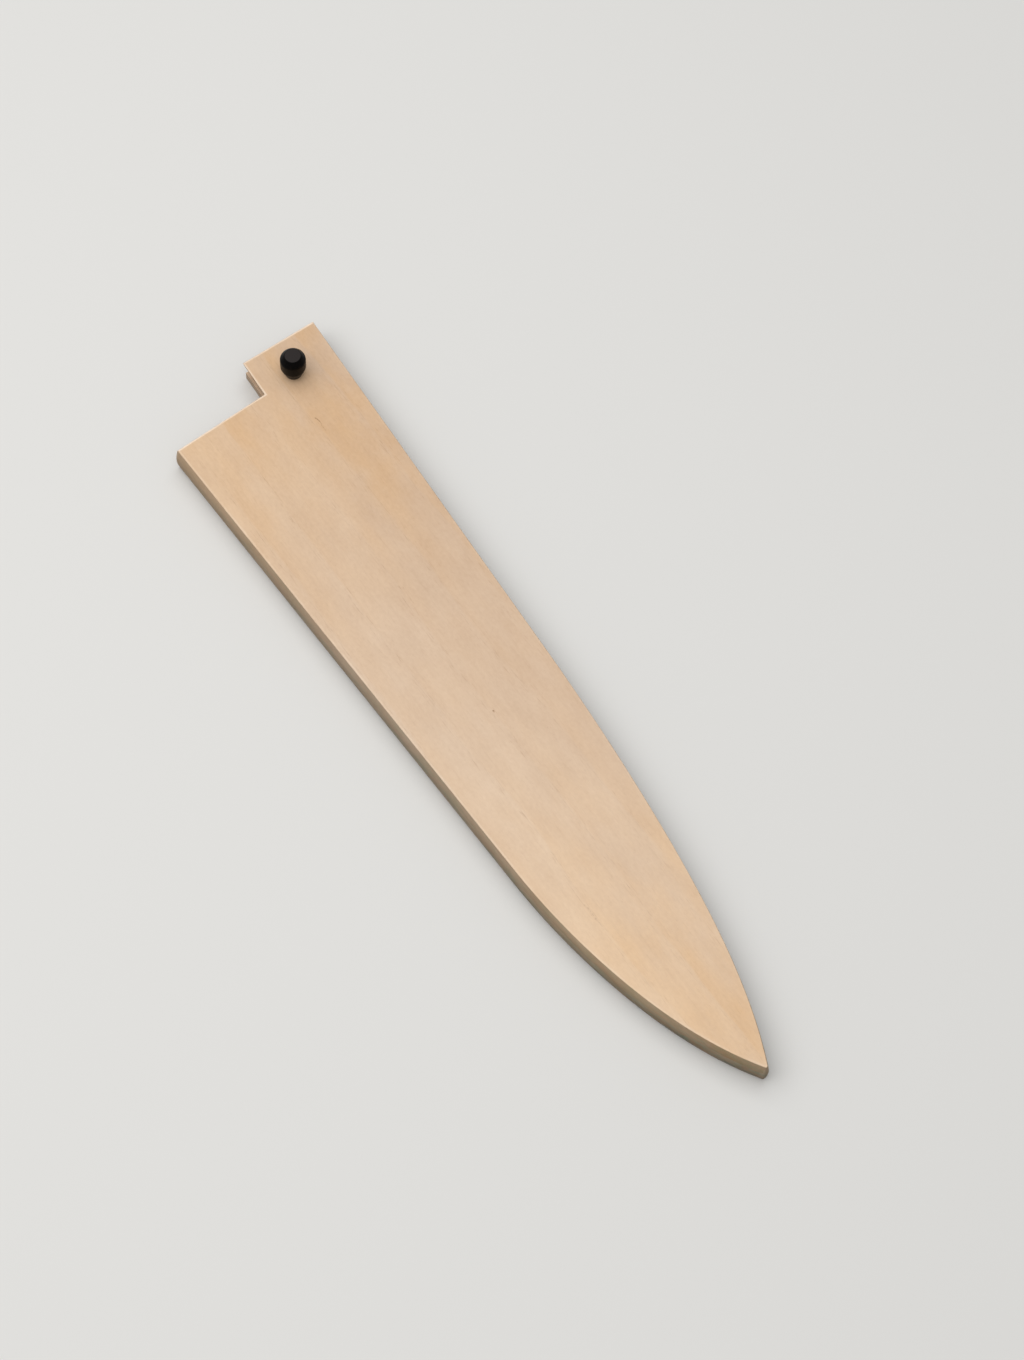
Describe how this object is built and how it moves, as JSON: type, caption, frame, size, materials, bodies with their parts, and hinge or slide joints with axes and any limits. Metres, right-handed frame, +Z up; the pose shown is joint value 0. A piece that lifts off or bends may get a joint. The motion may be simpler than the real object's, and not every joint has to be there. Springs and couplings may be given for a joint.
{
  "type": "knife blade guard",
  "caption": "Flat wooden sheath for a long kitchen knife, open at the neck and heel, locked by a turned dark pin through its neck.",
  "frame": {"origin": "middle of the lower face of the whole object's bounding box", "axes": "+X from the open mouth to the tip, along the straight spine; +Y towards the spine; +Z up through the pin, out of the face it is put in from"},
  "size_m": [0.2666, 0.058, 0.0189],
  "materials": {
    "pale_wood": "raw, finely sanded",
    "strip_wood": "raw, finely sanded",
    "ebony": "turned and polished"
  },
  "bodies": {
    "sheath": {"upper_plate": "pale_wood", "lower_plate": "pale_wood", "spine_strip": "strip_wood", "edge_strip": "strip_wood"},
    "pin": {"pin": "ebony"}
  },
  "joints": [
    {"name": "pin_pull", "type": "slide", "parent": "sheath", "child": "pin", "axis": [0, 0, 1], "range_m": [0, 0.0095]}
  ]
}
